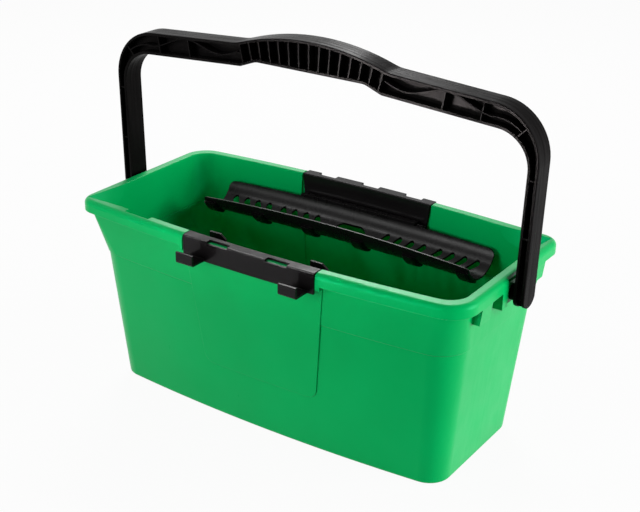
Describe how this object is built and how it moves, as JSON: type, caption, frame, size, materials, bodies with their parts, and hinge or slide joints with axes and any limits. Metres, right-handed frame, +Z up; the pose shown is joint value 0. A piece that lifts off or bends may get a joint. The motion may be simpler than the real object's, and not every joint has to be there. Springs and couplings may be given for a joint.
{
  "type": "window cleaning bucket",
  "caption": "Long rectangular bucket with pour corners, a swinging bail handle, a tool clip on the front rim and a lift-out sieve trough hung from a rear clip.",
  "frame": {"origin": "middle of the base, on the floor", "axes": "+X along the long side to the right, -Y to the front, +Z up"},
  "size_m": [0.5178, 0.259, 0.4107],
  "materials": {
    "tub": "satin moulded",
    "handle": "satin moulded",
    "clip": "glossy moulded",
    "sieve": "glossy moulded"
  },
  "bodies": {
    "tub": {"tub": "tub"},
    "handle": {"handle": "handle"},
    "front_clip": {"front_clip": "clip"},
    "rear_clip": {"rear_clip": "clip"},
    "sieve": {"sieve": "sieve"}
  },
  "joints": [
    {"name": "handle_swing", "type": "hinge", "parent": "tub", "child": "handle", "pos_m": [0, 0, 0.1965], "axis": [1, 0, 0], "range_deg": [-135, 135]},
    {"name": "front_clip_pull", "type": "slide", "parent": "tub", "child": "front_clip", "axis": [0, 0, 1], "range_m": [0, 0.04]},
    {"name": "rear_clip_pull", "type": "slide", "parent": "tub", "child": "rear_clip", "axis": [0, 0, 1], "range_m": [0, 0.04]},
    {"name": "sieve_lift", "type": "slide", "parent": "rear_clip", "child": "sieve", "axis": [0, 0, 1], "range_m": [0, 0.07]}
  ]
}
